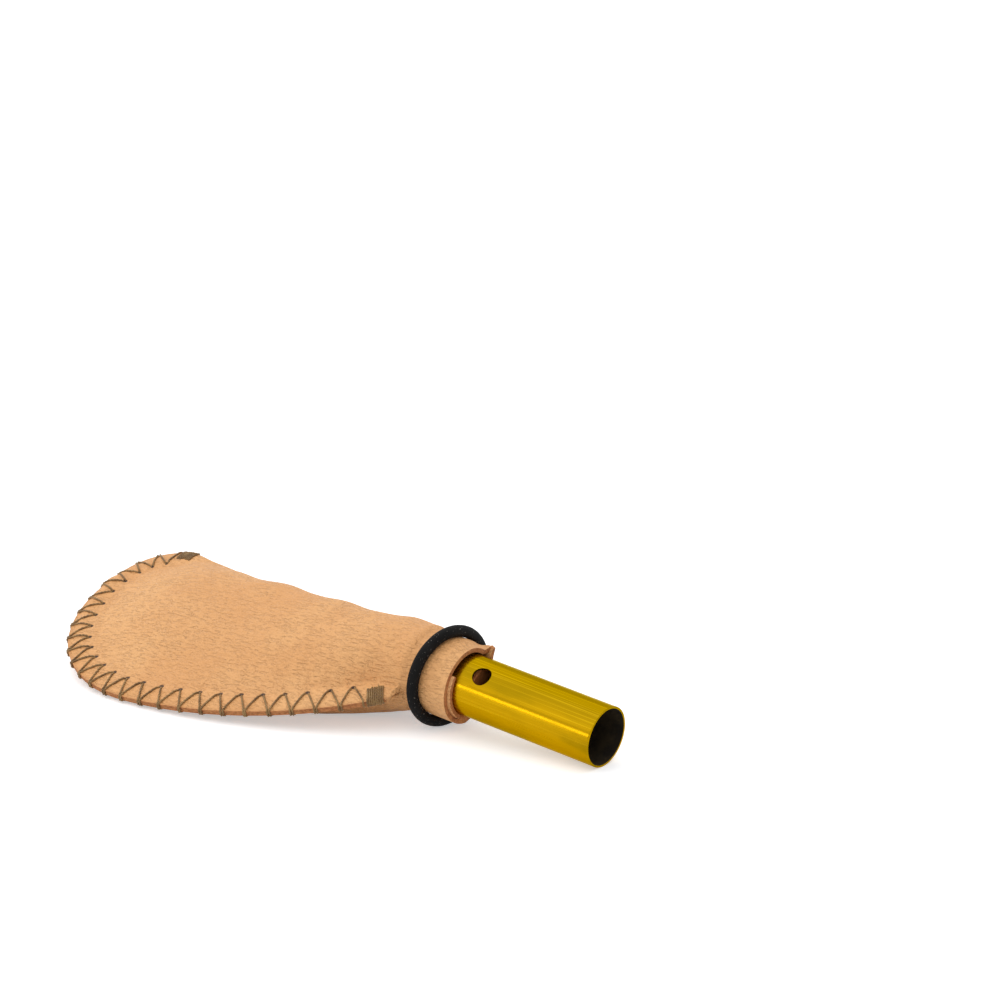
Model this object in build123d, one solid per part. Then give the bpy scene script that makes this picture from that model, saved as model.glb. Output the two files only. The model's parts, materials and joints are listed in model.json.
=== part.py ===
from build123d import *
import math
import os

# A leather pouch bird call: a stuffed hide pouch that pumps air through a brass whistle.
# Millimetres. +X runs along the whistle towards its mouth, +Y towards the fold of the hide, +Z up.
# The call lies on its side on the plane z = 0, on its belly, its clamp ring and the tube's lower rim.

# Whistle tube, measured along its axis from the middle of the clamp ring
tube_outer_dia = 14.0
tube_wall = 0.5
mouth_reach = 44.0
tube_tail = 10.5
window_dia = 4.5
window_from_mouth = 31.5
window_lift_deg = 50.0

# Fipple block and tuning stopper inside the tube
windway_depth = 1.3
block_length = 18.0
block_fit = 0.02
stopper_length = 6.0
stopper_recess = 10.0
stopper_fit = 0.05
stopper_chamfer = 0.4

# Leather and the neck collar that it makes round the tube
leather = 1.1
neck_fit = 0.04
neck_back = 6.4
throat_r = 10.4
collar_front = 6.2
flap_proud = 0.8
flap_edge_deg = 165.0
lap_edge_deg = 270.0
beak_deg = 45.0
beak_reach = 10.9

# Clamp ring round the collar
ring_section_dia = 2.5
ring_fit = 0.06
ring_skew_deg = 9.0
ring_travel_front = 0.5
ring_travel_back = 2.0

# Pouch outline in the seam plane: distance behind the ring's middle, and reach from the axis
seam_tilt_deg = 18.5
seam_start_at = 6.6
seam_start_reach = 13.6
widest_at = 69.0
widest_reach = 35.5
shoulder_at = 88.0
shoulder_reach = 30.4
tip_edge_at = 105.0
tip_edge_reach = -7.0
fold_end_at = 90.6
fold_end_reach = 18.8

# Swell of the two halves above and below the seam plane
foot_clear = 0.45
crown_rise = 6.2
crest_shift = 0.28
belly_front_at = 34.0
belly_rear_at = 76.0
flat_share_neck = 0.12
flat_share_gain = 0.30
ground_cut = 0.5
station_shares = (0.0, 0.07, 0.15, 0.24, 0.38, 0.56, 0.74, 0.87, 0.95, 1.0)
tip_inset = 0.6

# Part of the upper panel that sinks when the pouch is squeezed
squeeze_centre_at = 60.0
squeeze_centre_reach = -4.0
squeeze_half_length = 32.0
squeeze_half_width = 12.0
squeeze_gap = 0.2

# Horsehair filling
filling_gap = 0.3
filling_start = 0.12
filling_end = 0.93

# Seam thread: whip stitches through one row of holes, two legs through each hole
thread_dia = 0.6
thread_gap = 0.05
thread_bend_clear = 0.12
leg_gap = 0.14
hole_gap = 0.08
rim_gap = 0.6
stitch_count = 25
stitch_margin = 5.4

# Bar tacks that end the seam
tack_turns = 4
tack_gap = 0.46
tack_depth = 4.0
tack_end_gap = 0.2

tube_r = tube_outer_dia / 2
bore_r = tube_r - tube_wall
window_r = window_dia / 2
ring_r = ring_section_dia / 2
thread_r = thread_dia / 2
leg_half = thread_r + leg_gap / 2
hole_r = leg_half + thread_r + hole_gap
seam_margin = stitch_margin + hole_r + foot_clear
tack_pitch = thread_dia + tack_gap
tack_half = tack_turns * tack_pitch / 2 + thread_r
tack_at = tack_half + tack_end_gap
flap_inner = tube_r + neck_fit
flap_outer = flap_inner + leather
neck_r = flap_outer + leather
skew = math.radians(ring_skew_deg)
ring_mean_r = (neck_r + ring_fit + ring_r) / math.cos(skew)

# The tube slopes so that the clamp ring and the lower rim of the mouth both touch z = 0.
drop = ring_mean_r - tube_r
tilt = math.asin(ring_r / math.hypot(drop, mouth_reach)) + math.atan2(drop, mouth_reach)
ring_height = ring_mean_r * math.cos(tilt) + ring_r
seam_height = ring_height + neck_back * math.tan(tilt)
alpha = math.radians(seam_tilt_deg)
far_reach = 300.0

ground = Pos(0, 0, -far_reach / 2) * Box(far_reach, far_reach, far_reach)
axis = Pos(0, 0, ring_height) * Rot(0, math.degrees(tilt), 0)
window_turn = Rot(90 - window_lift_deg, 0, 0)
window_at = mouth_reach - window_from_mouth
seam_plane = Plane(
    origin=(0, 0, seam_height), x_dir=(1, 0, 0), z_dir=(0, -math.sin(alpha), math.cos(alpha))
)


def rod(radius, start, end):
    """A cylinder along the tube's axis between two places on it."""
    return Pos((start + end) / 2, 0, 0) * Rot(0, 90, 0) * Cylinder(radius, end - start)


def make_tube():
    body = rod(tube_r, -tube_tail, mouth_reach)
    bore = rod(bore_r, -tube_tail - 1, mouth_reach + 1)
    window = Pos(window_at, 0, 0) * window_turn * Pos(0, 0, tube_r) * Cylinder(window_r, tube_r)
    return axis * (body - bore - window)


def make_block():
    """Wooden block whose flat leaves the windway below the tube wall, up to the window's rear edge."""
    front = window_at - window_r
    body = rod(bore_r - block_fit, front - block_length, front)
    flat_at = bore_r - windway_depth
    cutter = Box(3 * block_length, tube_outer_dia, tube_r)
    windway = Pos(front, 0, 0) * window_turn * Pos(0, 0, flat_at + tube_r / 2) * cutter
    return axis * (body - windway)


def make_stopper():
    face = mouth_reach - stopper_recess
    body = rod(bore_r - stopper_fit, face - stopper_length, face)
    return axis * chamfer(body.edges().filter_by(GeomType.CIRCLE), stopper_chamfer)


def make_ring():
    return axis * Rot(0, 0, -ring_skew_deg) * Rot(0, 90, 0) * Torus(ring_mean_r, ring_r)


def polar(radius, angle_deg):
    angle = math.radians(angle_deg)
    return (radius * math.cos(angle), radius * math.sin(angle))


def lap(inner_start, inner_end, start_deg, end_deg):
    """A strip of leather wrapped between two angles, seen along the axis: 0 is far, 90 is up."""
    middle_deg = (start_deg + end_deg) / 2
    inner_middle = (inner_start + inner_end) / 2
    inner = ThreePointArc(
        polar(inner_start, start_deg), polar(inner_middle, middle_deg), polar(inner_end, end_deg)
    )
    outer = ThreePointArc(
        polar(inner_start + leather, start_deg),
        polar(inner_middle + leather, middle_deg),
        polar(inner_end + leather, end_deg),
    )
    return make_face([inner, outer, Line(inner @ 0, outer @ 0), Line(inner @ 1, outer @ 1)])


def along_axis(face, start, end):
    return extrude(Plane.YZ.offset(start) * face, end - start)


def make_collar():
    """The hide's neck: a closed sleeve under the ring, then the loose wrap in front of it."""
    ring_half = ring_mean_r * math.sin(skew) + ring_r
    wrap_start = ring_half + ring_travel_front + ring_fit
    flare_start = -ring_half - ring_travel_back - ring_fit
    flare_length = neck_back + flare_start
    flare = Pos(flare_start - flare_length / 2, 0, 0) * Rot(0, 90, 0) * Cone(throat_r, neck_r, flare_length)
    tail = rod(throat_r, -neck_back - throat_r, -neck_back)
    sleeve = rod(neck_r, flare_start, wrap_start) + flare + tail
    sleeve = sleeve - rod(flap_inner, -neck_back - 2 * throat_r, wrap_start + leather)
    flap = lap(flap_inner, flap_inner, flap_edge_deg, 360 + beak_deg)
    crossing = lap(flap_inner, flap_outer, beak_deg, flap_edge_deg)
    outer_lap = lap(flap_outer, flap_outer, flap_edge_deg, lap_edge_deg)
    beak_root = flap_inner + leather / 2
    beak_middle = polar((beak_root + beak_reach) / 2, beak_deg)
    beak = Pos(*beak_middle) * Rot(0, 0, beak_deg) * Rectangle(beak_reach - beak_root, 2 * leather)
    wrap = along_axis(flap, wrap_start, collar_front + flap_proud)
    for face in (crossing, outer_lap, beak):
        wrap = wrap + along_axis(face, wrap_start, collar_front)
    behind = Pos(-neck_back - far_reach / 2, 0, 0) * Box(far_reach, far_reach, far_reach)
    return axis * (sleeve + wrap) - behind


# Outline of the sewn edge in the seam plane, from the neck round to the end of the fold
seam_start = (-seam_start_at, -seam_start_reach)
widest = (-widest_at, -widest_reach)
shoulder = (-shoulder_at, -shoulder_reach)
tip_edge = (-tip_edge_at, -tip_edge_reach)
fold_end = (-fold_end_at, fold_end_reach)
near_arc = TangentArc(widest, seam_start, tangent=(1, 0))
side_arc = TangentArc(widest, shoulder, tangent=(-1, 0))
end_arc = TangentArc(shoulder, tip_edge, tangent=side_arc % 1)
crook_arc = TangentArc(tip_edge, fold_end, tangent=end_arc % 1)
seam_arcs = ((near_arc, -1), (side_arc, 1), (end_arc, 1), (crook_arc, 1))
seam_length = sum(arc.length for arc, way in seam_arcs)
tip_at = min(arc.radius - arc.arc_center.X for arc in (end_arc, crook_arc)) - seam_margin - tip_inset


def seam_point(length):
    """Point on the sewn edge and its directions: along the seam, and inwards."""
    for arc, way in seam_arcs:
        if length <= arc.length or arc is crook_arc:
            place = length if way > 0 else arc.length - length
            break
        length -= arc.length
    point = arc.position_at(place, position_mode=PositionMode.LENGTH)
    along = arc.tangent_at(place, position_mode=PositionMode.LENGTH) * way
    return point, along, Vector(along.Y, -along.X)


def near_foot(behind):
    """Where the swell begins on the sewn side, as a reach from the axis."""
    arc = near_arc
    if behind > widest_at:
        arc = side_arc
    if behind > shoulder_at:
        arc = end_arc
    centre = arc.arc_center
    half = math.sqrt((arc.radius - seam_margin) ** 2 - (behind + centre.X) ** 2)
    return min(centre.Y - half, -throat_r)


def far_foot(behind):
    """The fold, drawn in between the neck and its end, or the swell's edge inside the round end."""
    share = (behind - neck_back) / (fold_end_at - neck_back)
    fold = throat_r + (fold_end_reach - throat_r) * share**2
    centre = crook_arc.arc_center
    if behind < -centre.X:
        return fold
    half = math.sqrt((crook_arc.radius - seam_margin) ** 2 - (behind + centre.X) ** 2)
    return min(fold, centre.Y + half)


def rise(behind):
    """Height of the upper panel's crest above the seam plane."""
    if behind < widest_at:
        share = (behind - neck_back) / (widest_at - neck_back)
        return leather + crown_rise + (throat_r - leather - crown_rise) * (1 - share) ** 2
    share = (behind - widest_at) / (tip_at + tip_inset - widest_at)
    return leather + crown_rise * (1 - share**2)


def belly(behind):
    """Slope of the belly's flat against the seam plane, and its depth below the axis line, square to it."""
    slope = alpha
    depth = seam_height + ground_cut
    if behind < belly_front_at:
        share = (belly_front_at - behind) / (belly_front_at - neck_back)
        neck_depth = throat_r * math.sqrt(1 - flat_share_neck**2)
        depth = depth + (neck_depth - depth) * share**2
    if behind > belly_rear_at:
        share = (behind - belly_rear_at) / (tip_at - belly_rear_at)
        slope = alpha * (1 - share**2)
        depth = depth + (rise(tip_at) - depth) * share**2
    return slope, depth


def section_plane(behind):
    across = (0, math.cos(alpha), math.sin(alpha))
    return Plane(origin=(-behind, 0, seam_height), x_dir=across, z_dir=(1, 0, 0))


def upper_section(share, inset):
    """Cross section of the upper half: two arcs that meet at the crest, closed by the seam plane."""
    behind = neck_back + share * (tip_at - neck_back)
    far, near = far_foot(behind), near_foot(behind)
    height = rise(behind)
    crest = far - (far - near) * (0.5 - crest_shift * math.sin(math.pi * share))
    top = height - inset
    ends = []
    for foot in (far, near):
        width = abs(foot - crest)
        radius = (width**2 + height**2) / (2 * height)
        ends.append(math.copysign(math.sqrt(top * (2 * (radius - inset) - top)), foot - crest) + crest)
    over_far = TangentArc((crest, top), (ends[0], 0), tangent=(1, 0))
    over_near = TangentArc((crest, top), (ends[1], 0), tangent=(-1, 0))
    base = Line((ends[0], 0), (ends[1], 0))
    return section_plane(behind) * make_face([over_far, over_near, base])


def lower_section(share, inset):
    """Cross section of the lower half: a flat on the ground between two arcs, closed by the seam plane."""
    behind = neck_back + share * (tip_at - neck_back)
    far, near = far_foot(behind), near_foot(behind)
    flat_share = flat_share_neck + flat_share_gain * math.sin(math.pi * share)
    flat_half = flat_share * (far - near) / 2
    slope, depth = belly(behind)
    middle = math.cos(slope) * (far + near) / 2
    upwards = Vector(math.sin(slope), math.cos(slope))
    sideways = Vector(math.cos(slope), -math.sin(slope))
    ends = []
    flats = []
    for foot, side in ((far, 1), (near, -1)):
        corner = sideways * (middle + side * flat_half) - upwards * depth
        span = Vector(foot, 0) - corner
        radius = span.dot(span) / (2 * span.dot(upwards))
        centre = corner + upwards * radius
        ends.append((centre.X + side * math.sqrt((radius - inset) ** 2 - centre.Y**2), 0))
        flats.append(corner + upwards * inset)
    under_far = TangentArc(flats[0], ends[0], tangent=sideways)
    under_near = TangentArc(flats[1], ends[1], tangent=-sideways)
    return section_plane(behind) * make_face(
        [under_far, under_near, Line(flats[0], flats[1]), Line(ends[0], ends[1])]
    )


def swell(section, inset, shares):
    return loft([section(share, inset) for share in shares])


def margin_plate(thickness):
    """One layer of the flat sewn margin, its inner side hidden under the swell."""
    inner = (-seam_start_at, -neck_r / 2)
    edges = [near_arc, side_arc, end_arc, crook_arc, Line(fold_end, inner), Line(inner, seam_start)]
    return extrude(seam_plane * make_face(edges), thickness)


tack_end = tack_at + tack_half
stitch_step = (seam_length - 2 * tack_end - rim_gap) / stitch_count
first_stitch = tack_end + (stitch_step + rim_gap) / 2
stitch_places = [first_stitch + stitch_step * index for index in range(stitch_count)]
stitch_spread = (stitch_step - thread_dia - rim_gap) / 2


def make_cutters():
    """Needle holes for the stitches, and one slot for each bar tack, through both layers."""
    deep = 6 * leather
    cutters = []
    for place in stitch_places:
        edge, along, inwards = seam_point(place)
        hole = edge + inwards * stitch_margin
        cutters.append(seam_plane * Pos(hole.X, hole.Y, 0) * Cylinder(hole_r, deep))
    for place in (tack_at, seam_length - tack_at):
        edge, along, inwards = seam_point(place)
        hole = edge + inwards * tack_depth
        turn = math.degrees(math.atan2(along.Y, along.X))
        slot = Box(2 * (tack_half + thread_gap), thread_dia + 2 * hole_gap, deep)
        cutters.append(seam_plane * Pos(hole.X, hole.Y, 0) * Rot(0, 0, turn) * slot)
    return cutters


def thread_along(points, closed):
    path = FilletPolyline(*points, radius=thread_r + thread_bend_clear, close=closed)
    start = Plane(origin=path @ 0, z_dir=path % 0)
    return path, sweep(start * Circle(thread_r), path=path)


thread_level = leather + thread_r + thread_gap


def make_seam_thread():
    """Two loops through every hole, each lying as a slanted leg on both faces and round the edge.

    Where the edge lies on the ground, the thread is pressed flat.
    """
    loops = []
    for place in stitch_places:
        edge, along, inwards = seam_point(place)
        for side in (-1, 1):
            hole = edge + inwards * stitch_margin + along * (side * leg_half)
            rim, rim_along, rim_inwards = seam_point(place + side * stitch_spread)
            rim = rim - rim_inwards * (thread_r + thread_gap)
            corners = [
                seam_plane.from_local_coords((spot.X, spot.Y, level * thread_level))
                for spot, level in ((hole, 1), (rim, 1), (rim, -1), (hole, -1))
            ]
            loop = thread_along(corners, True)[1]
            if loop.bounding_box().min.Z < 0:
                loop = loop - ground
            loops.append(loop)
    return Compound(children=loops)


def make_tack(place):
    """Thread wound over the edge, as one unbroken winding through the slot behind it."""
    edge, along, inwards = seam_point(place)
    hole = edge + inwards * tack_depth
    rim = edge - inwards * (thread_r + thread_gap)
    corners = []
    for turn in range(tack_turns):
        slide = along * ((turn - tack_turns / 2) * tack_pitch)
        for spot, level in ((hole, -1), (hole, 1), (rim, 1), (rim, -1)):
            spot = spot + slide
            corners.append(seam_plane.from_local_coords((spot.X, spot.Y, level * thread_level)))
    last = hole + along * (tack_turns / 2 * tack_pitch)
    corners.append(seam_plane.from_local_coords((last.X, last.Y, -thread_level)))
    path, winding = thread_along(corners, False)
    print("bar tack least gap to itself", round(least_gap(path), 3))
    return winding


def least_gap(path):
    steps = 300
    apart = 2.5
    step = path.length / steps
    points = [path.position_at(step * i, position_mode=PositionMode.LENGTH) for i in range(steps + 1)]
    skip = math.ceil(apart / step)
    nearest = min(
        (points[i] - points[j]).length for i in range(steps + 1) for j in range(i + skip, steps + 1)
    )
    return nearest - thread_dia


def make_panels():
    """The two halves of the hide, with the part of the upper one that the thumb presses cut free."""
    upper = margin_plate(leather) + swell(upper_section, 0, station_shares)
    upper = upper - swell(upper_section, leather, station_shares)
    lower = margin_plate(-leather) + swell(lower_section, 0, station_shares)
    lower = lower - swell(lower_section, leather, station_shares) - ground
    for cutter in make_cutters():
        upper = upper - cutter
        lower = lower - cutter
    middle = seam_plane * Pos(-squeeze_centre_at, squeeze_centre_reach, 0)
    opening = middle * extrude(Ellipse(squeeze_half_length, squeeze_half_width), far_reach)
    pad = Ellipse(squeeze_half_length - squeeze_gap, squeeze_half_width - squeeze_gap)
    pressed = upper & (middle * extrude(pad, far_reach))
    return lower, upper - opening, pressed


def make_filling():
    inset = leather + filling_gap
    inside = [share for share in station_shares if filling_start < share < filling_end]
    shares = [filling_start, *inside, filling_end]
    return swell(upper_section, inset, shares) + swell(lower_section, inset, shares)


lower_panel, upper_panel, squeeze_panel = make_panels()
nodes = {
    "lower_panel": lower_panel,
    "upper_panel": upper_panel,
    "squeeze_panel": squeeze_panel,
    "neck_collar": make_collar(),
    "horsehair_filling": make_filling(),
    "seam_thread": make_seam_thread(),
    "neck_bar_tack": make_tack(tack_at),
    "end_bar_tack": make_tack(seam_length - tack_at),
    "clamp_ring": make_ring(),
    "whistle_tube": make_tube(),
    "fipple_block": make_block(),
    "tuning_stopper": make_stopper(),
}

# The origin is the middle of the whole box, on the ground.
corners = [node.bounding_box() for node in nodes.values()]
middle_x = (min(box.min.X for box in corners) + max(box.max.X for box in corners)) / 2
middle_y = (min(box.min.Y for box in corners) + max(box.max.Y for box in corners)) / 2
origin = Pos(-middle_x, -middle_y, 0)

os.makedirs("parts", exist_ok=True)
for name, node in nodes.items():
    export_step(origin * node, f"parts/{name}.step")

print("lowest points", {name: round(node.bounding_box().min.Z, 3) for name, node in nodes.items()})
print("origin moved by", -middle_x, -middle_y, "ring height", ring_height, "tilt", math.degrees(tilt))
print("seam plane height", seam_height, "seam length", seam_length, "stitch step", stitch_step)
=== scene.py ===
import bmesh
import bpy
import json
import random
from math import asin, atan2, copysign, cos, degrees, exp, hypot, pi, radians, sin, sqrt
from mathutils import Matrix, Vector, noise
from mathutils.bvhtree import BVHTree


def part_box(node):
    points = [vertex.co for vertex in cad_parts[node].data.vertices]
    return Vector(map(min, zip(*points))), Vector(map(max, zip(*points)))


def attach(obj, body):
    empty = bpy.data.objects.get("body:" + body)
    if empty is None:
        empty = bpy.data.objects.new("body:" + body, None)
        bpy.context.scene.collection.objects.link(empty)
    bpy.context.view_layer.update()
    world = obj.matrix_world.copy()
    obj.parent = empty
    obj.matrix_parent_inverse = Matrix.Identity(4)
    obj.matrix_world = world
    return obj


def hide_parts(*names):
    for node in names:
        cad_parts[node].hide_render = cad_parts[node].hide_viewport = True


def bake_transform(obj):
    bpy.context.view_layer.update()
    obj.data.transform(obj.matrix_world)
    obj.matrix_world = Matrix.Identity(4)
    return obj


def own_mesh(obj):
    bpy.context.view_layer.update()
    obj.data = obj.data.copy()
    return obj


# A stuffed leather bird call: hide, seam thread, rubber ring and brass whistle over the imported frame.
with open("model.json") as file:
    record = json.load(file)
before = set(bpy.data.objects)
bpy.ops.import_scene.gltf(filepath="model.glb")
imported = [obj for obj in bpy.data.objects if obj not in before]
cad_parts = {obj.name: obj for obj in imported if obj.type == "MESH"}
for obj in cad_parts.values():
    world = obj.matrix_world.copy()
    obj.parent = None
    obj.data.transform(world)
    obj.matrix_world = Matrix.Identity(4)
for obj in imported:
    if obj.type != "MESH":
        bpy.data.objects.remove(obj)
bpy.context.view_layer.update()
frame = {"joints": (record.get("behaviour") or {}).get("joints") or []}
mm = 0.001

# Directions and the ring's middle, read from the frame.
jointAxes = {joint["name"]: Vector(joint["axis"]).normalized() for joint in frame["joints"]}
tubeAxis = jointAxes["whistle_pull"]
seamUp = -jointAxes["pouch_squeeze"]
seamAcross = seamUp.cross(Vector((1, 0, 0)))
ringLow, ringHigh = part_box("clamp_ring")
ringCentre = (ringLow + ringHigh) / 2
axisSlope = -tubeAxis.z / tubeAxis.x
seamTilt = atan2(seamAcross.z, seamAcross.y)
tubeSide = Vector((0, 1, 0))
tubeUp = tubeAxis.cross(tubeSide)


def smoothStep(low, high, value):
    share = min(max((value - low) / (high - low), 0.0), 1.0)
    return share * share * (3 - 2 * share)


def lerp(a, b, share):
    return a + (b - a) * share


def softMax(a, b, reach):
    near = max(reach - abs(a - b), 0.0) / reach
    return max(a, b) + near * near * reach / 4


def bump(value, centre, width):
    return exp(-((value - centre) / width) ** 2)


# Hide: sizes in mm, measured behind the ring's middle and out from the tube's axis.
hideForm = {
    "leather": 1.1, "wall": 1.04,
    "neckBack": 6.4, "neckRadius": 9.24, "flareStart": 4.38,
    "throatRadius": 10.4, "throatSoft": 0.945, "throatEnd": 15.0, "throatReach": 40.0,
    "seamStart": (6.6, -13.6), "widest": (69.0, -35.5), "shoulder": (88.0, -30.4),
    "tip": (105.0, 7.0), "foldEnd": (90.6, 18.8),
    "seamMargin": 6.6, "footShare": 0.36, "footRound": 3.2, "footEdge": (0.3, 5.0),
    "crownRise": 6.2, "crestShift": 0.28, "swellEnd": 98.07, "swellInset": 0.6,
    "bellyFront": 34.0, "bellyRear": 76.0, "bellyEnd": 102.5, "bellySpare": 0.2,
    "flatNeck": 0.12, "flatGain": 0.30, "groundCut": 0.5, "arcSteps": 24,
    "foldBlend": (83.0, 94.0), "lipRise": (4.0, 20.0), "edgeOpens": 2.5,
    "earClose": (5.5, 6.5), "squareNeck": (3.0, 16.0),
    "rimShare": 0.55, "rimTaper": 2.4, "tanRim": (0.0, 7.3), "seamFrom": 5.0,
    "columns": (14, 46, 18), "edgeZone": 4.0, "zoneShare": 0.3, "sectionSteps": 150,
    "neckRows": 42, "bodyRows": 196, "rowJoin": 9.0, "rowGather": 1.5, "tipGap": 0.02,
    "mergeGap": 0.004, "sliver": 0.002, "smoothTurns": 3, "smoothShare": 0.4, "tipStill": 0.6,
}
# Wrap in front of the ring: angles in degrees about the tube, 0 far, 90 up.
wrapForm = {
    "start": 2.7, "settled": 6.2, "front": 6.2, "proud": 0.8, "innerRadius": 8.14,
    "lapEdge": 270.0, "crossEnd": 165.0,
    "beak": 45.0, "beakReach": 2.5, "beakHalf": 13.0, "beakStart": 2.9, "beakPower": 1.5,
}
# Stitches: places along the sewn edge in mm from the neck.
stitchForm = {
    "count": 25, "margin": 5.4, "legSpread": 2.56, "legHalf": 0.2, "rimGap": 0.6,
    "tackHalf": 2.42, "tackAt": 2.62, "tackDepth": 4.0,
    "threadRadius": 0.25, "plyTwist": 1.7, "plyAside": 0.46, "plyShare": 0.62,
    "holeSway": 0.12, "rimSway": 0.14, "lift": 0.08, "lip": 0.35, "clear": 0.02, "sunk": 0.3,
}
offSeam = (0.0, 40.0)  # reading far from the sewn edge

seamBase = Vector((ringCentre.x, ringCentre.y, ringCentre.z + hideForm["neckBack"] * mm * axisSlope))


def halfTurn(angle):
    return (angle + pi) % (2 * pi) - pi


def arcBetween(start, end, heading):
    start, end, heading = Vector(start), Vector(end), Vector(heading)
    normal = Vector((-heading.y, heading.x))
    step = end - start
    reach = step.dot(step) / (2 * step.dot(normal))
    centre = start + normal * reach
    first = atan2(start.y - centre.y, start.x - centre.x)
    last = atan2(end.y - centre.y, end.x - centre.x)
    sweep = halfTurn(last - first)
    out = (end - centre) / abs(reach)
    onward = Vector((-out.y, out.x)) * copysign(1, sweep)
    return {"centre": centre, "radius": abs(reach), "first": first, "sweep": sweep, "onward": onward,
            "length": abs(sweep * reach)}


def backwards(arc):
    return {**arc, "first": arc["first"] + arc["sweep"], "sweep": -arc["sweep"]}


# Sewn edge in the seam plane: (behind the ring, across), round from the neck to the end of the fold.
nearArc = arcBetween(hideForm["widest"], hideForm["seamStart"], (-1, 0))
sideArc = arcBetween(hideForm["widest"], hideForm["shoulder"], (1, 0))
endArc = arcBetween(hideForm["shoulder"], hideForm["tip"], sideArc["onward"])
crookArc = arcBetween(hideForm["tip"], hideForm["foldEnd"], endArc["onward"])
seamArcs = [backwards(nearArc), sideArc, endArc, crookArc]
seamLength = sum(arc["length"] for arc in seamArcs)
hideEnd = endArc["centre"].x + endArc["radius"]
tackEnd = stitchForm["tackAt"] + stitchForm["tackHalf"]
stitchStep = (seamLength - 2 * tackEnd - stitchForm["rimGap"]) / stitchForm["count"]
firstStitch = tackEnd + (stitchStep + stitchForm["rimGap"]) / 2
stitchPlaces = [firstStitch + stitchStep * index for index in range(stitchForm["count"])]


def seamSpot(run):
    for arc in seamArcs:
        if run <= arc["length"] or arc is seamArcs[-1]:
            break
        run -= arc["length"]
    turn = arc["first"] + arc["sweep"] * run / arc["length"]
    out = Vector((cos(turn), sin(turn)))
    along = Vector((-out.y, out.x)) * copysign(1, arc["sweep"])
    return arc["centre"] + out * arc["radius"], along, -out


def seamReading(behind, across):
    best, passed = offSeam, 0.0
    for arc in seamArcs:
        offset = Vector((behind, across)) - arc["centre"]
        share = halfTurn(atan2(offset.y, offset.x) - arc["first"]) / arc["sweep"]
        depth = arc["radius"] - offset.length
        if -0.02 <= share <= 1.02 and abs(depth) < abs(best[1]):
            best = (passed + share * arc["length"], depth)
        passed += arc["length"]
    return best


def circleHalf(arc, behind, inset=0.0):
    return sqrt(max((arc["radius"] - inset) ** 2 - (behind - arc["centre"].x) ** 2, 0.0))


def nearArcAt(behind):
    if behind <= hideForm["widest"][0]:
        return nearArc
    return sideArc if behind <= hideForm["shoulder"][0] else endArc


def throatRadiusAt(behind):
    share = smoothStep(hideForm["flareStart"], hideForm["neckBack"], behind)
    return lerp(hideForm["neckRadius"], hideForm["throatRadius"] * hideForm["throatSoft"], share)


# Right behind the ring the throat rises gently to its full size.
def throatEase(behind):
    return lerp(hideForm["throatSoft"], 1.0, smoothStep(hideForm["neckBack"], hideForm["throatEnd"], behind))


def foldReach(behind):
    share = (behind - hideForm["neckBack"]) / (hideForm["foldEnd"][0] - hideForm["neckBack"])
    return hideForm["throatRadius"] + (hideForm["foldEnd"][1] - hideForm["throatRadius"]) * share**2


# One cross section's main sizes: edges, feet of the swell, and how far the cut edges stand open.
def sectionSizes(behind):
    form = hideForm
    lip = smoothStep(*form["lipRise"], behind)
    if behind < form["neckBack"]:
        radius = throatRadiusAt(behind)
        ear = smoothStep(*form["earClose"], behind)
        nearEdge = lerp(-radius, form["seamStart"][1], ear)
        return {"far": radius, "near": -radius, "farEdge": radius, "nearEdge": nearEdge,
                "nearLift": ear, "farLift": 0.0, "rise": radius, "lip": lip}
    arc = nearArcAt(behind)
    nearEdge = arc["centre"].y - circleHalf(arc, behind)
    near = arc["centre"].y - circleHalf(arc, behind, form["seamMargin"])
    if behind < form["throatReach"]:
        near = min(near, -form["throatRadius"] * throatEase(behind))
    foldBack = form["foldEnd"][0]
    fold = foldReach(min(behind, foldBack)) * throatEase(behind)
    ring = endArc if behind > form["tip"][0] else crookArc
    farEdge = fold if behind < foldBack else ring["centre"].y + circleHalf(ring, behind)
    inner = circleHalf(crookArc, max(behind, crookArc["centre"].x), form["seamMargin"])
    far = lerp(fold, min(fold, crookArc["centre"].y + inner), smoothStep(*form["foldBlend"], behind))
    widest = form["footShare"] * (farEdge - nearEdge)
    far = min(far, farEdge) if behind < foldBack else farEdge - min(farEdge - far, widest)
    near = nearEdge + min(near - nearEdge, widest)
    openFar = smoothStep(foldBack, foldBack + form["edgeOpens"], behind)
    return {"far": far, "near": near, "farEdge": farEdge, "nearEdge": nearEdge, "nearLift": 1.0,
            "farLift": openFar, "rise": crownRise(behind) * throatEase(behind), "lip": lip}


def crownRise(behind):
    form = hideForm
    if behind < form["widest"][0]:
        share = (behind - form["neckBack"]) / (form["widest"][0] - form["neckBack"])
        crown = form["leather"] + form["crownRise"]
        return crown + (form["throatRadius"] - crown) * (1 - share) ** 2
    share = (behind - form["widest"][0]) / (form["swellEnd"] + form["swellInset"] - form["widest"][0])
    return form["leather"] + form["crownRise"] * max(1 - share**2, 0.0)


def swellShare(behind):
    share = (behind - hideForm["neckBack"]) / (hideForm["swellEnd"] - hideForm["neckBack"])
    return min(max(share, 0.0), 1.0)


def upperHeight(sizes, behind, across):
    shift = hideForm["crestShift"] * sin(pi * swellShare(behind))
    crest = lerp(sizes["far"], sizes["near"], 0.5 - shift)
    foot = sizes["far"] if across > crest else sizes["near"]
    width = abs(foot - crest)
    rise = sizes["rise"]
    radius = (width**2 + rise**2) / (2 * rise)
    if abs(across - crest) >= min(width, radius):
        return 0.0
    return rise - radius + sqrt(radius**2 - (across - crest) ** 2)


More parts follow.
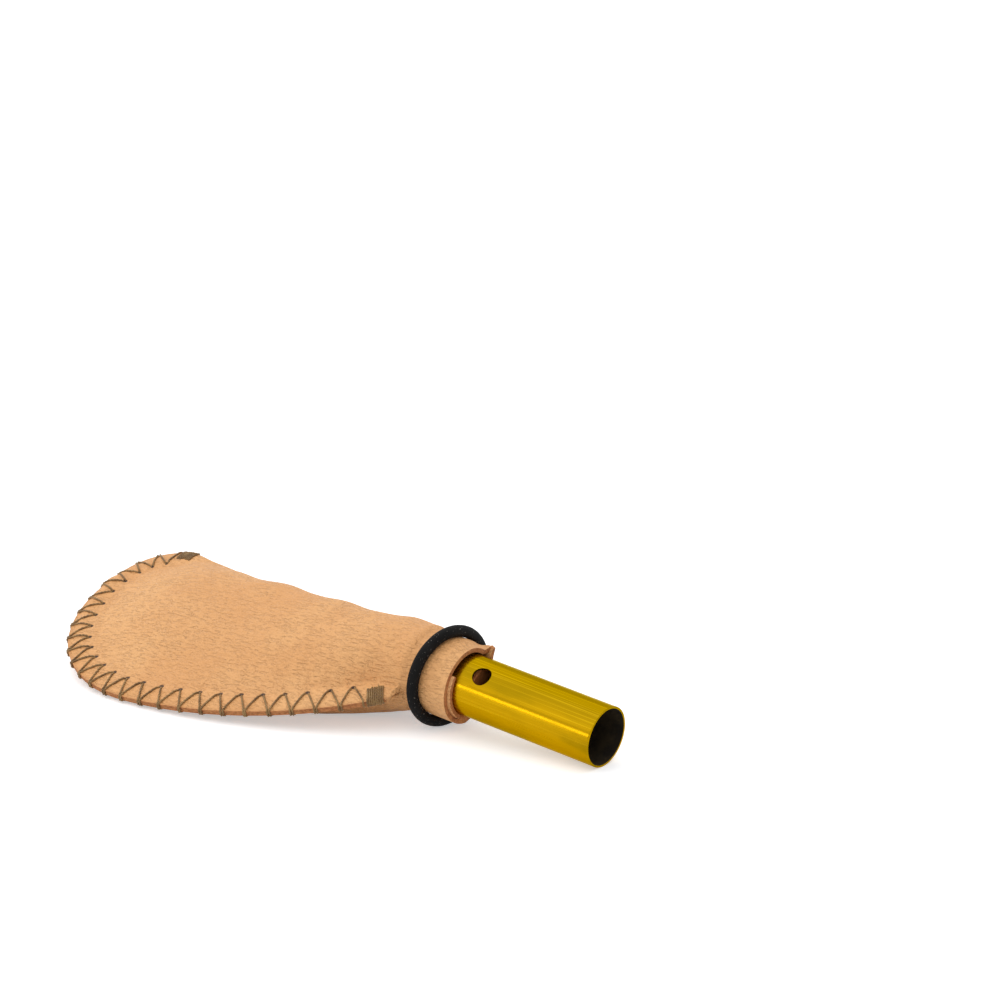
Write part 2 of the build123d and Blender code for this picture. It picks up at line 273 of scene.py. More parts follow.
# Belly: a flat that lies on the ground between two arcs, as (across, depth) from far to near.
def bellyLine(sizes, behind):
    form = hideForm
    far, near = sizes["far"], sizes["near"]
    slope, depth = seamTilt, seamBase.z / mm + form["groundCut"]
    if behind < form["bellyFront"]:
        share = min((form["bellyFront"] - behind) / (form["bellyFront"] - form["neckBack"]), 1.0)
        neckDepth = form["throatRadius"] * sqrt(1 - form["flatNeck"] ** 2)
        depth = lerp(depth, min(neckDepth, sizes["rise"]), share**2)
    if behind > form["bellyRear"]:
        share = min((behind - form["bellyRear"]) / (form["swellEnd"] - form["bellyRear"]), 1.0)
        slope = seamTilt * (1 - share**2)
        depth = lerp(depth, form["leather"] + form["bellySpare"], share**2)
    flatShare = form["flatNeck"] + form["flatGain"] * sin(pi * swellShare(behind))
    flatHalf = flatShare * (far - near) / 2
    middle = cos(slope) * (far + near) / 2
    upwards = Vector((sin(slope), cos(slope)))
    sideways = Vector((cos(slope), -sin(slope)))
    line = []
    for foot, side in ((far, 1), (near, -1)):
        corner = sideways * (middle + side * flatHalf) - upwards * depth
        span = Vector((foot, 0)) - corner
        radius = span.dot(span) / (2 * span.dot(upwards))
        centre = corner + upwards * radius
        first = atan2(-centre.y, foot - centre.x)
        last = atan2(-upwards.y, -upwards.x)
        sweep = halfTurn(last - first)
        steps = form["arcSteps"]
        turns = [first + sweep * step / steps for step in range(steps + 1)]
        arc = [(centre.x + radius * cos(turn), -centre.y - radius * sin(turn)) for turn in turns]
        line += arc if side > 0 else arc[::-1]
    return line


def readLine(line, across):
    for (a, depthA), (b, depthB) in zip(line, line[1:]):
        if b <= across <= a:
            return lerp(depthA, depthB, (a - across) / max(a - b, 1e-9))
    return 0.0


# Two layers of the flat margin: the outer face, rounded down to nothing along the fold.
def plateHeight(sizes, across):
    leather = hideForm["leather"]
    fromFold = sizes["farEdge"] - across
    folded = sqrt(max(leather**2 - max(leather - fromFold, 0.0) ** 2, 0.0))
    far = lerp(folded, leather, sizes["farLift"]) * sizes["lip"]
    nearSide = smoothStep(sizes["far"], sizes["near"], across)
    return lerp(far, leather * sizes["nearLift"], nearSide)


# The part of the belly's far arc that swells out past the fold.
def foldBulge(belly, farEdge):
    bulge = []
    for across, depth in belly[1:]:
        if across <= farEdge:
            break
        bulge.append(Vector((across, -depth)))
    return bulge


def sectionLine(behind, half):
    sizes = sectionSizes(behind)
    middle = (sizes["farEdge"] + sizes["nearEdge"]) / 2
    spread = (sizes["farEdge"] - sizes["nearEdge"]) / 2
    steps = hideForm["sectionSteps"]
    belly = bellyLine(sizes, behind) if half < 0 and behind >= hideForm["neckBack"] else None
    bellyShare = 1 - smoothStep(hideForm["swellEnd"], hideForm["bellyEnd"], behind)
    points = []
    for step in range(steps + 1):
        across = middle + spread * cos(pi * step / steps)
        swell = readLine(belly, across) * bellyShare if belly else upperHeight(sizes, behind, across)
        plate = plateHeight(sizes, across)
        fromEdge = min(across - sizes["nearEdge"], sizes["farEdge"] - across)
        soften = hideForm["footRound"] * smoothStep(*hideForm["footEdge"], fromEdge) + 1e-4
        height = softMax(swell, plate, soften) if step else plate  # both halves meet along the fold
        points.append(Vector((across, half * height)))
    if belly and behind < hideForm["foldEnd"][0]:
        points[1:1] = foldBulge(belly, sizes["farEdge"])
    zones = [max(sizes["farEdge"] - sizes["far"], hideForm["edgeZone"]),
             max(sizes["near"] - sizes["nearEdge"], hideForm["edgeZone"])]
    return spacedOut(points, *zones)


# Points along a section, with closer columns in the two edge zones.
def spacedOut(points, farZone, nearZone):
    lengths = [0.0]
    for a, b in zip(points, points[1:]):
        lengths.append(lengths[-1] + (b - a).length)
    total = lengths[-1]
    most = hideForm["zoneShare"] * total
    stops = (0, min(farZone, most), total - min(nearZone, most), total)
    marks = []
    for start, end, count in zip(stops, stops[1:], hideForm["columns"]):
        marks += [lerp(start, end, step / count) for step in range(count)]
    marks.append(total)
    spots, index = [], 0
    for mark in marks:
        while index < len(points) - 2 and lengths[index + 1] < mark:
            index += 1
        share = (mark - lengths[index]) / max(lengths[index + 1] - lengths[index], 1e-9)
        spots.append(points[index].lerp(points[index + 1], min(share, 1.0)))
    return spots


def seamPlace(behind, across, above):
    spot = seamBase + (Vector((-behind, 0, 0)) + seamAcross * across + seamUp * above) * mm
    square = 1 - smoothStep(*hideForm["squareNeck"], behind)  # square to the tube at the neck
    axisZ = ringCentre.z + behind * mm * axisSlope
    spot.x += (spot.z - axisZ) * axisSlope * square
    return spot


# In front of the ring the neck is a loose spiral: radius and front edge depend on the angle.
def wrapSpot(behind, across, above):
    form = wrapForm
    ahead = -behind
    angle = (degrees(atan2(above, across) + seamTilt)) % 360
    radius = hideForm["neckRadius"]
    if angle > form["lapEdge"] or angle < form["beak"]:
        outer, front = form["innerRadius"], form["front"] + form["proud"]
    else:
        rising = min((angle - form["beak"]) / (form["crossEnd"] - form["beak"]), 1.0)
        outer, front = lerp(form["innerRadius"], radius, rising), form["front"]
    loose = smoothStep(form["start"], form["settled"], ahead)
    beak = max(1 - abs(angle - form["beak"]) / form["beakHalf"], 0.0)
    beak = form["beakReach"] * beak ** form["beakPower"] * smoothStep(form["beakStart"], form["front"], ahead)
    reach = lerp(radius, outer, loose) + beak
    longest = form["front"] + form["proud"]
    if ahead > form["start"]:
        ahead = lerp(form["start"], front, (ahead - form["start"]) / (longest - form["start"]))
    share = reach / radius
    return -ahead, across * share, above * share


def rowPlaces():
    form = hideForm
    front, join = -(wrapForm["front"] + wrapForm["proud"]), form["rowJoin"]
    neck = [lerp(front, join, row / form["neckRows"]) for row in range(form["neckRows"])]
    left = [1 - row / form["bodyRows"] for row in range(form["bodyRows"] + 1)]
    return neck + [lerp(join, hideEnd - form["tipGap"], 1 - share ** form["rowGather"]) for share in left]


def shapeSheet(grid, half, rows):
    columns = sum(hideForm["columns"])
    lines = [sectionLine(behind, half) for behind in rows]
    for vert in grid["verts"]:
        column = round((vert.co.x + 1) / 2 * columns)
        row = round((vert.co.y + 1) / 2 * (len(rows) - 1))
        behind = rows[row]
        across, above = lines[row][column]
        if behind < hideForm["neckBack"]:
            if behind < -wrapForm["start"]:
                behind, across, above = wrapSpot(behind, across, above)
            drop = (hideForm["neckBack"] - behind) * axisSlope
            across -= drop * sin(seamTilt)
            above -= drop * cos(seamTilt)
        vert.co = seamPlace(behind, across, above)


def hideReading(spot):
    offset = (spot - seamBase) / mm
    return -offset.x, offset.dot(seamAcross), offset.dot(seamUp)


# Sculpted relief in mm. Dents: depth, slant, place behind, its width, place across, its width.
reliefForm = {
    "rolls": ((0.055, 0.34, (0, 0, 0)), (0.16, 0.13, (7, 3, 1))),
    "rollDepth": (7.5, 10.5), "rollNeck": (2.0, 14.0),
    "dents": ((0.50, 0.6, 12.5, 1.9, -5.0, 5.0), (0.30, 0.54, 42.3, 2.4, -13.0, 6.0),
              (0.26, 0.0, 49.0, 5.0, -26.5, 1.6)),
    "wave": 0.40, "waveAt": 53.8, "waveLength": 22, "waveRun": 18.0, "waveFrom": (1.0, 9.0),
    "sewn": (1.0, 9.5), "needle": (0.34, 0.75), "swell": 0.10, "swellIn": (1.6, 1.8),
}


# How far a spot of the hide stands out.
def hideRelief(behind, across, above, run, depth):
    form, margin = reliefForm, stitchForm["margin"]
    spot = Vector((behind, across, above))
    rolling = sum(noise.noise(spot * scale + Vector(shift)) * high for scale, high, shift in form["rolls"])
    relief = rolling * smoothStep(*form["rollDepth"], depth) * smoothStep(*form["rollNeck"], behind)
    if above > 0:  # throat valley, two soft dents of the crown and the wavy fold
        for deep, slant, back, length, aside, width in form["dents"]:
            relief -= deep * bump(behind - slant * across, back, length) * bump(across, aside, width)
        wave = cos((behind - form["waveAt"]) * 2 * pi / form["waveLength"])
        reach = smoothStep(*form["waveFrom"], across) * bump(behind, form["waveAt"], form["waveRun"])
        relief += form["wave"] * wave * reach
    # needle holes draw the margin in, and it swells a little between them
    sewnAlong = firstStitch - stitchStep / 2 < run < stitchPlaces[-1] + stitchStep / 2
    if sewnAlong and form["sewn"][0] < depth < form["sewn"][1]:
        phase = ((run - firstStitch) / stitchStep + 0.5) % 1 - 0.5
        fromHole = hypot(phase * stitchStep, depth - margin)
        relief -= form["needle"][0] * bump(fromHole, 0.0, form["needle"][1])
        between = bump(depth, margin + form["swellIn"][0], form["swellIn"][1])
        relief += form["swell"] * cos(2 * pi * (phase + 0.5)) * between
    return relief


def buildHide():
    form = hideForm
    bm = bmesh.new()
    rows = rowPlaces()
    for half in (1, -1):
        grid = bmesh.ops.create_grid(bm, x_segments=sum(form["columns"]), y_segments=len(rows) - 1, size=1)
        shapeSheet(grid, half, rows)
    bmesh.ops.remove_doubles(bm, verts=bm.verts, dist=form["mergeGap"] * mm)
    bmesh.ops.dissolve_degenerate(bm, edges=bm.edges, dist=form["sliver"] * mm)
    bmesh.ops.recalc_face_normals(bm, faces=bm.faces)
    still = hideEnd - form["tipStill"]  # rows crowd at the tip
    inside = [vert for vert in bm.verts if not vert.is_boundary and hideReading(vert.co)[0] < still]
    for turn in range(form["smoothTurns"]):
        bmesh.ops.smooth_vert(bm, verts=inside, factor=form["smoothShare"],
                              use_axis_x=True, use_axis_y=True, use_axis_z=True)
    bm.normal_update()
    crown = max(bm.verts, key=lambda vert: vert.co.z)
    if crown.normal.z < 0:
        bmesh.ops.reverse_faces(bm, faces=bm.faces)
    bm.normal_update()
    runLayer = bm.verts.layers.float.new("seamRun")
    wallLayer = bm.verts.layers.deform.verify()
    depthLayer = bm.verts.layers.float.new("seamDepth")
    moves = []
    for vert in bm.verts:
        behind, across, above = hideReading(vert.co)
        run, depth = seamReading(behind, across) if behind > form["seamFrom"] else offSeam
        vert[runLayer], vert[depthLayer] = run, depth
        pressed = lerp(form["rimShare"], 1.0, smoothStep(0.0, form["rimTaper"], depth))
        vert[wallLayer][0] = pressed
        thinner = seamUp * (copysign(form["leather"], above) * (pressed - 1) * mm)
        moves.append(vert.normal * (hideRelief(behind, across, above, run, depth) * mm) + thinner)
    for vert, move in zip(bm.verts, moves):
        vert.co += move
        vert.co.z = max(vert.co.z, 0.0)
    for face in bm.faces:
        if form["tanRim"][0] < hideReading(face.calc_center_median())[0] < form["tanRim"][1]:
            face.material_index = 3  # here the rim keeps the face's colour
    return bm


def placed(name, data):
    holder = bpy.data.objects.new(name, data)
    bpy.context.scene.collection.objects.link(holder)
    return holder


def pieceFrom(bm, name, materials, smooth=True):
    mesh = bpy.data.meshes.new(name)
    for face in bm.faces:
        face.smooth = smooth
    bm.to_mesh(mesh)
    bm.free()
    for material in materials:
        mesh.materials.append(material)
    return placed(name, mesh)


def roundEdges(piece, width, segments=2, angle=50):
    rounding = piece.modifiers.new("roundedEdges", "BEVEL")
    rounding.width = width
    rounding.segments = segments
    rounding.limit_method = "ANGLE"
    rounding.angle_limit = radians(angle)


# Material helpers: a node with its inputs set or linked, a colour mix, sums, a ramp, noise and cells.
def putNode(tree, kind, inputs=None, **settings):
    node = tree.nodes.new(kind)
    for key, value in settings.items():
        setattr(node, key, value)
    for key, value in (inputs or {}).items():
        if isinstance(value, bpy.types.NodeSocket):
            tree.links.new(value, node.inputs[key])
        else:
            node.inputs[key].default_value = value
    return node


def mixColour(factor, first, second):
    tones = [tone if isinstance(tone, bpy.types.NodeSocket) else (*tone, 1) for tone in (first, second)]
    inputs = {0: factor, 6: tones[0], 7: tones[1]}
    return putNode(factor.id_data, "ShaderNodeMix", inputs, data_type="RGBA").outputs[2]


def sumUp(operation, first, second=0.0, third=0.0):
    inputs = {0: first, 1: second, 2: third}
    return putNode(first.id_data, "ShaderNodeMath", inputs, operation=operation).outputs[0]


def times(first, second, plus=0.0):
    return sumUp("MULTIPLY_ADD", first, second, plus)


def fade(value, start, end):
    inputs = {"Value": value, "From Min": start, "From Max": end}
    return putNode(value.id_data, "ShaderNodeMapRange", inputs, interpolation_type="SMOOTHSTEP").outputs[0]


def grainNoise(coords, scale, detail=4.0, stretch=(1, 1, 1), rough=0.55, twist=0.0):
    stretched = putNode(coords.id_data, "ShaderNodeMapping", {"Vector": coords, "Scale": stretch}).outputs[0]
    inputs = {"Vector": stretched, "Scale": scale, "Detail": detail, "Roughness": rough, "Distortion": twist}
    return putNode(coords.id_data, "ShaderNodeTexNoise", inputs).outputs["Fac"]


def cellNoise(coords, scale):
    inputs = {"Vector": coords, "Scale": scale}
    return putNode(coords.id_data, "ShaderNodeTexVoronoi", inputs).outputs["Distance"]


# How far along one direction a place lies.
def reachAlong(coords, way):
    node = putNode(coords.id_data, "ShaderNodeVectorMath", {0: coords, 1: way}, operation="DOT_PRODUCT")
    return node.outputs["Value"]


def feed(shader, name, value):
    value.id_data.links.new(value, shader.inputs[name])


def newMaterial(name, roughness, specular=0.5, metallic=0.0):
    material = bpy.data.materials.new(name)
    material.use_nodes = True
    nodes = material.node_tree.nodes
    shader = nodes["Principled BSDF"]
    shader.inputs["Roughness"].default_value = roughness
    shader.inputs["Specular IOR Level"].default_value = specular
    shader.inputs["Metallic"].default_value = metallic
    return material, shader, nodes.new("ShaderNodeTexCoord").outputs["Object"]


def addBump(shader, height, strength, distance):
    inputs = {"Height": height, "Strength": strength, "Distance": distance}
    feed(shader, "Normal", putNode(height.id_data, "ShaderNodeBump", inputs).outputs[0])


# A material from layers of grain: grain, fade, share, colour and height. One number is cells, more are noise.
def grainMaterial(look):
    material, shader, coords = newMaterial(look["name"], look["rough"], look["specular"])
    colour, height = look["base"], 0.0
    for grain, ends, share, tone, high in look["layers"]:
        value = (grainNoise if len(grain) > 1 else cellNoise)(coords, *grain)
        colour = mixColour(times(fade(value, *ends), share), colour, tone)
        height = times(value, high, height) if high else height
    feed(shader, "Base Color", colour)
    if "bump" in look:
        addBump(shader, height, look["bump"][0], look["bump"][1] * mm)
    return material


hideLook = {
    "tan": (0.775, 0.388, 0.148), "pale": (0.84, 0.452, 0.185), "deep": (0.58, 0.255, 0.085),
    "needle": (0.05, 0.022, 0.010), "holeShadeFade": (0.82, 0.48), "needleEnds": 1.5,
}
edgeLook = {
    "name": "cutLeatherEdge", "rough": 0.8, "specular": 0.2, "base": (0.56, 0.235, 0.090), "bump": (0.6, 0.2),
    "layers": (((1900, 5.0, (0.6, 1, 1), 0.65), (0.66, 0.34), 1.0, (0.34, 0.125, 0.048), 1.0),
               ((240, 3.0), (0.5, 0.75), 0.5, hideLook["tan"], 0.0)),
}
fleshLook = {
    "name": "leatherFleshSide", "rough": 0.9, "specular": 0.15, "base": (0.52, 0.31, 0.16),
    "bump": (0.7, 0.25),
    "layers": (((1400, 5.0, (0.5, 1, 1), 0.7), (0.35, 0.7), 1.0, hideLook["pale"], 1.0),),
}


# Painted shade in the needle holes: dark dots worked out from the distance along the seam and in from its
# edge.
def needleHoleShade(tree):
    run = putNode(tree, "ShaderNodeAttribute", attribute_name="seamRun").outputs["Fac"]
    depth = putNode(tree, "ShaderNodeAttribute", attribute_name="seamDepth").outputs["Fac"]
    steps = times(run, 1 / stitchStep, 0.5 - firstStitch / stitchStep)
    phase = sumUp("SUBTRACT", sumUp("FRACT", steps), 0.5)
    aside = times(phase, stitchStep)
    inward = sumUp("SUBTRACT", depth, stitchForm["margin"])
    squares = [sumUp("POWER", sumUp("ABSOLUTE", value), 2.0) for value in (aside, inward)]
    away = sumUp("SQRT", sumUp("ADD", *squares))
    after = sumUp("GREATER_THAN", run, firstStitch - hideLook["needleEnds"])
    before = sumUp("LESS_THAN", run, stitchPlaces[-1] + hideLook["needleEnds"])
    hole = times(fade(away, *hideLook["holeShadeFade"]), times(after, before))
    return hole, depth


def leatherFace():
    look = hideLook
    material, shader, coords = newMaterial("tannedLeather", 0.58, 0.36)
    clouds = grainNoise(coords, 46, 3.0)
    streaks = grainNoise(coords, 1700, 1.5, (0.28, 1, 1), 0.5, 0.4)
    hollows = times(fade(streaks, 0.50, 0.36), fade(clouds, 0.20, 0.55))
    pores = cellNoise(coords, 1500.0)
    fine = grainNoise(coords, 2600, 3.0)
    hole, depth = needleHoleShade(coords.id_data)
    # Painted shade: the tan darkens along the crease at the foot of the swell, 7.2 mm in from the sewn edge.
    # It also darkens within about a mm of the cut edge.
    fromCrease = sumUp("ABSOLUTE", sumUp("SUBTRACT", depth, 7.2))
    rim, creaseShade = fade(depth, 1.1, 0.1), fade(fromCrease, 1.3, 0.2)
    colour = mixColour(fade(clouds, 0.35, 0.68), look["tan"], look["pale"])
    for shade, share in ((hollows, 0.11), (fade(fine, 0.60, 0.40), 0.16), (rim, 0.42), (creaseShade, 0.10)):
        colour = mixColour(times(shade, share), colour, look["deep"])
    # painted shade: dark dots where the needle holes are
    colour = mixColour(hole, colour, look["needle"])
    feed(shader, "Base Color", colour)
    sheen = fade(streaks, 0.2, 0.8)
    feed(shader, "Roughness", times(sheen, 0.16, 0.50))
    height = times(pores, 0.25)
    for grain, share in ((streaks, 0.9), (fine, 0.28), (hollows, -0.27)):
        height = times(grain, share, height)
    addBump(shader, height, 1.0, 0.50 * mm)
    return material


leatherMaterials = [leatherFace(), grainMaterial(edgeLook), grainMaterial(fleshLook)]
rimless = [leatherMaterials[0], leatherMaterials[0], leatherMaterials[2]]
hide = pieceFrom(buildHide(), "hide", leatherMaterials + rimless)
hideWall = hide.modifiers.new("leatherWall", "SOLIDIFY")
hideWall.thickness = hideForm["wall"] * mm
hideWall.offset = -1
hideWall.material_offset = 2
hideWall.material_offset_rim = 1
hide.vertex_groups.new(name="wallShare")
hideWall.vertex_group = "wallShare"
roundEdges(hide, 0.16 * mm, 2, 55)
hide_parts("lower_panel", "upper_panel", "squeeze_panel", "neck_collar")
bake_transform(hide)
print("hide", len(hide.data.polygons), "faces")


# Places along and round the whistle tube: ahead of the ring, radius, angle in degrees (0 far, 90 up).
def tubePlace(ahead, radius, angle):
    turn = radians(angle)
    out = tubeSide * cos(turn) + tubeUp * sin(turn)
    return ringCentre + (tubeAxis * ahead + out * radius) * mm


tubeFrame = Matrix.Translation(ringCentre) @ Matrix((tubeAxis, tubeSide, tubeUp)).transposed().to_4x4()


# Inner end of the wrap: a strip that shows under the outer lap and stands a little proud of it.
flapForm = {"inner": 7.06, "outer": 8.08, "rear": 2.0, "front": 7.0, "start": 150.0, "end": 276.0,
            "steps": 44, "outward": 0.7}


def buildFlap():
    form = flapForm
    bm = bmesh.new()
    corners = ((form["rear"], form["inner"]), (form["front"], form["inner"]),
               (form["front"], form["outer"]), (form["rear"], form["outer"]))
    places = [tubePlace(*corner, form["start"]) for corner in corners]
    profile = bm.faces.new([bm.verts.new(place) for place in places])
    turn = radians(form["end"] - form["start"])
    bmesh.ops.spin(bm, geom=[profile, *profile.edges, *profile.verts], angle=turn, steps=form["steps"],
                   axis=tubeAxis, cent=ringCentre)
    bmesh.ops.recalc_face_normals(bm, faces=bm.faces)
    depthLayer = bm.verts.layers.float.new("seamDepth")
    for vert in bm.verts:
        vert[depthLayer] = offSeam[1]
    for face in bm.faces:
        offset = face.calc_center_median() - ringCentre
        offset -= tubeAxis * offset.dot(tubeAxis)
        face.material_index = 0 if face.normal.dot(offset.normalized()) > form["outward"] else 1
    return bm


innerFlap = pieceFrom(buildFlap(), "innerFlap", leatherMaterials[:2])
roundEdges(innerFlap, 0.2 * mm, 3, 40)
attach(innerFlap, "pouch")
print("inner flap", len(innerFlap.data.polygons), "faces")


threadLook = {
    "name": "waxedThread", "rough": 0.55, "specular": 0.4, "base": (0.185, 0.100, 0.034), "bump": (0.5, 0.08),
    "layers": (((420, 3.0), (0.35, 0.65), 1.0, (0.33, 0.195, 0.072), 0.0),
               ((4200, 3.0, (1, 1, 1), 0.7), (0.52, 0.75), 0.6, (0.47, 0.31, 0.145), 1.0)),
}
threadMaterial = grainMaterial(threadLook)


# Lines as the splines of a curve, turned into a mesh.
def meshOfLines(name, lines, kind, resolution=1, **settings):
    curve = bpy.data.curves.new(name, "CURVE")
    curve.dimensions = "3D"
    for key, value in settings.items():
        setattr(curve, key, value)
    for line in lines:
        spline = curve.splines.new(kind)
        spline.points.add(len(line) - 1)
        for point, spot in zip(spline.points, line):
            point.co = (*spot, 1)
        if kind == "NURBS":
            spline.order_u = 3
            spline.use_endpoint_u = True
            spline.resolution_u = resolution
    holder = placed(name + "Line", curve)
    mesh = bpy.data.meshes.new_from_object(holder)
    bpy.data.objects.remove(holder)
    bpy.data.curves.remove(curve)
    return mesh


# Points of a smooth line through a route, read from its NURBS spline.
def smoothLine(route, resolution):
    line = meshOfLines("route", [route], "NURBS", resolution)
    points = [vert.co.copy() for vert in line.vertices]
    bpy.data.meshes.remove(line)
    return points


# Two plies twisted round a line of points.
def twistedPlies(points, start=0.0):
    radius, twist = stitchForm["threadRadius"] * mm, stitchForm["plyTwist"] * mm
    plies = ([], [])
    side = (points[1] - points[0]).orthogonal().normalized()
    passed = 0.0
    for index, point in enumerate(points):
        ahead = points[min(index + 1, len(points) - 1)] - points[max(index - 1, 0)]
        ahead.normalize()
        side = (side - ahead * side.dot(ahead)).normalized()
        other = ahead.cross(side)
        passed += (point - points[index - 1]).length if index else 0.0
        for ply, line in enumerate(plies):
            turn = start + passed / twist * 2 * pi + ply * pi
            aside = side * cos(turn) + other * sin(turn)
            line.append(point + aside * radius * stitchForm["plyAside"])
    return plies


def threadPiece(name, lines, radius, material=threadMaterial, resolution=1):
    mesh = meshOfLines(name, lines, "POLY", bevel_depth=radius, bevel_resolution=resolution,
                       use_fill_caps=True)
    mesh.name = name
    for face in mesh.polygons:
        face.use_smooth = True
    for vert in mesh.vertices:
        vert.co.z = max(vert.co.z, 0.0)  # pressed flat on the ground
    mesh.materials.clear()
    mesh.materials.append(material)
    return placed(name, mesh)


plyRadius = stitchForm["threadRadius"] * stitchForm["plyShare"] * mm


def seamPoint(spot, above):
    return seamPlace(spot.x, spot.y, above)


hideFaces = BVHTree.FromPolygons([vert.co for vert in hide.data.vertices],
                                 [face.vertices for face in hide.data.polygons])
rayStart = 25 * mm
rimLevel = hideForm["leather"] * hideForm["rimShare"]


# Height of the hide's outer face above the seam plane, found by a ray square to that plane.
def faceLevel(spot, half):
    far = seamPoint(spot, 0.0) + seamUp * (half * rayStart)
    hit = hideFaces.ray_cast(far, seamUp * -half)[0]
    if hit is None:
        return half * rimLevel
    return (hit - seamBase).dot(seamUp) / mm


# A spot on the hide's outer face, raised off it by some mm.
def facePoint(spot, half, raised):
    return seamPoint(spot, faceLevel(spot, half) + half * raised)


def stitchRoute(place, side, sway):
    form = stitchForm
    edge, along, inward = seamSpot(place)
    holeIn = form["margin"] + sway.uniform(-form["holeSway"], form["holeSway"])
    hole = edge + inward * holeIn + along * side * form["legHalf"]
    spread = form["legSpread"] + sway.uniform(-form["rimSway"], form["rimSway"])
    rim, _, rimInward = seamSpot(place + side * spread)
    over = rim - rimInward * (form["threadRadius"] + form["clear"])
    lip = rim + rimInward * form["lip"]
    level = form["threadRadius"] * 0.75
    legs = {}
    for half in (1, -1):
        legs[half] = [facePoint(hole, half, -form["sunk"])]
        for share in (0.10, 0.28, 0.5, 0.75):
            legs[half].append(facePoint(hole.lerp(lip, share), half, level + sway.uniform(0.0, form["lift"])))
        legs[half].append(facePoint(lip, half, level + 0.05))
    turn = [seamPoint(over, above) for above in (rimLevel, 0.0, -rimLevel)]
    return [seamPoint(hole, 0.0), *legs[1], *turn, *legs[-1][::-1], seamPoint(hole, 0.0)]


def buildSeamThread():
    sway = random.Random(5)
    lines = []
    for place in stitchPlaces:
        for side in (-1, 1):
            points = smoothLine(stitchRoute(place, side, sway), 4)
            lines += twistedPlies(points, sway.uniform(0, 6))
    # the last thread runs on along the rim to the end tack and past it
    first, last, steps = stitchPlaces[-1] + stitchForm["legSpread"], seamLength - 0.2, 8
    rims = [seamSpot(lerp(first, last, step / steps)) for step in range(steps + 1)]
    onRim = [seamPoint(edge - inward * 0.1, rimLevel) for edge, _, inward in rims]
    lines += twistedPlies(smoothLine(onRim, 4))
    return threadPiece("seamThread", lines, plyRadius)


seamThread = buildSeamThread()
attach(seamThread, "pouch")
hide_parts("seam_thread")
print("seam thread", len(seamThread.data.polygons), "faces")

# Bar tacks: one thread wound over the edge at each end of the seam.
tackForm = {"turns": 8, "pitch": 0.50, "ragged": 0.35, "lip": 0.3, "sunk": 0.2, "level": 0.8}


def tackRoute(place, sway):
    form, radius, pitch = tackForm, stitchForm["threadRadius"], tackForm["pitch"]
    level = radius * form["level"]
    edge, along, inward = seamSpot(place)
    route = []
    for turn in range(form["turns"]):
        slide = (turn - (form["turns"] - 1) / 2) * pitch
        deep = stitchForm["tackDepth"] + sway.uniform(-form["ragged"], form["ragged"])
        hole = edge + inward * deep + along * slide
        lip = edge + inward * form["lip"] + along * (slide + 0.2 * pitch)
        over = edge - inward * (radius + stitchForm["clear"]) + along * (slide + 0.35 * pitch)
        back = edge + inward * deep + along * (slide + 0.7 * pitch)
        route += [seamPoint(hole, 0.0), facePoint(hole, 1, -form["sunk"])]
        route += [facePoint(hole.lerp(lip, share), 1, level) for share in (0.12, 0.4, 0.7, 1.0)]
        route += [seamPoint(over, above) for above in (rimLevel, 0.0, -rimLevel)]
        route += [facePoint(lip.lerp(back, share), -1, level) for share in (0.0, 0.3, 0.6, 0.88)]
        route.append(facePoint(back, -1, -form["sunk"]))
    return route


def buildTack(name, place, seed):
    points = smoothLine(tackRoute(place, random.Random(seed)), 3)
    return threadPiece(name, twistedPlies(points), plyRadius)


for tackName, tackNode, tackPlace, tackSeed in (
    ("neckTack", "neck_bar_tack", stitchForm["tackAt"], 11),
    ("endTack", "end_bar_tack", seamLength - stitchForm["tackAt"], 12),
):
    tack = buildTack(tackName, tackPlace, tackSeed)
    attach(tack, "pouch")
    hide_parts(tackNode)
    print(tackName, len(tack.data.polygons), "faces")


# Clamp ring: a round rubber ring that sits askew on the neck.
ringForm = {"middle": 10.68, "section": 1.33, "skew": 9.0, "steps": 144, "sides": 28}
rubberLook = {
    "name": "dustyRubber", "rough": 0.70, "specular": 0.12, "base": (0.0028, 0.0024, 0.0024),
    "bump": (0.35, 0.08),
    "layers": (((260, 4.0), (0.42, 0.75), 1.0, (0.0075, 0.0068, 0.0065), 1.0),
               ((2400, 2.0), (0.66, 0.72), 1.0, (0.17, 0.155, 0.14), 0.5)),
}


def buildRing():
    form = ringForm
    skew = radians(form["skew"])
    normal = tubeAxis * cos(skew) - tubeSide * sin(skew)
    out = tubeUp
    bm = bmesh.new()
    place = Matrix((out, normal, out.cross(normal))).transposed().to_4x4()
    spot = Matrix.Translation(ringCentre + out * form["middle"] * mm) @ place
    section = bmesh.ops.create_circle(bm, segments=form["sides"], radius=form["section"] * mm, matrix=spot)
    edges = list({edge for vert in section["verts"] for edge in vert.link_edges})
    bmesh.ops.spin(bm, geom=section["verts"] + edges, angle=2 * pi, steps=form["steps"], axis=normal,
                   cent=ringCentre, use_merge=True)
    bmesh.ops.remove_doubles(bm, verts=bm.verts, dist=0.001 * mm)
    bmesh.ops.recalc_face_normals(bm, faces=bm.faces)
    for vert in bm.verts:
        vert.co.z = max(vert.co.z, 0.0)
    return bm


clampRing = pieceFrom(buildRing(), "clampRing", [grainMaterial(rubberLook)])
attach(clampRing, "ring")
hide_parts("clamp_ring")
print("clamp ring", len(clampRing.data.polygons), "faces")


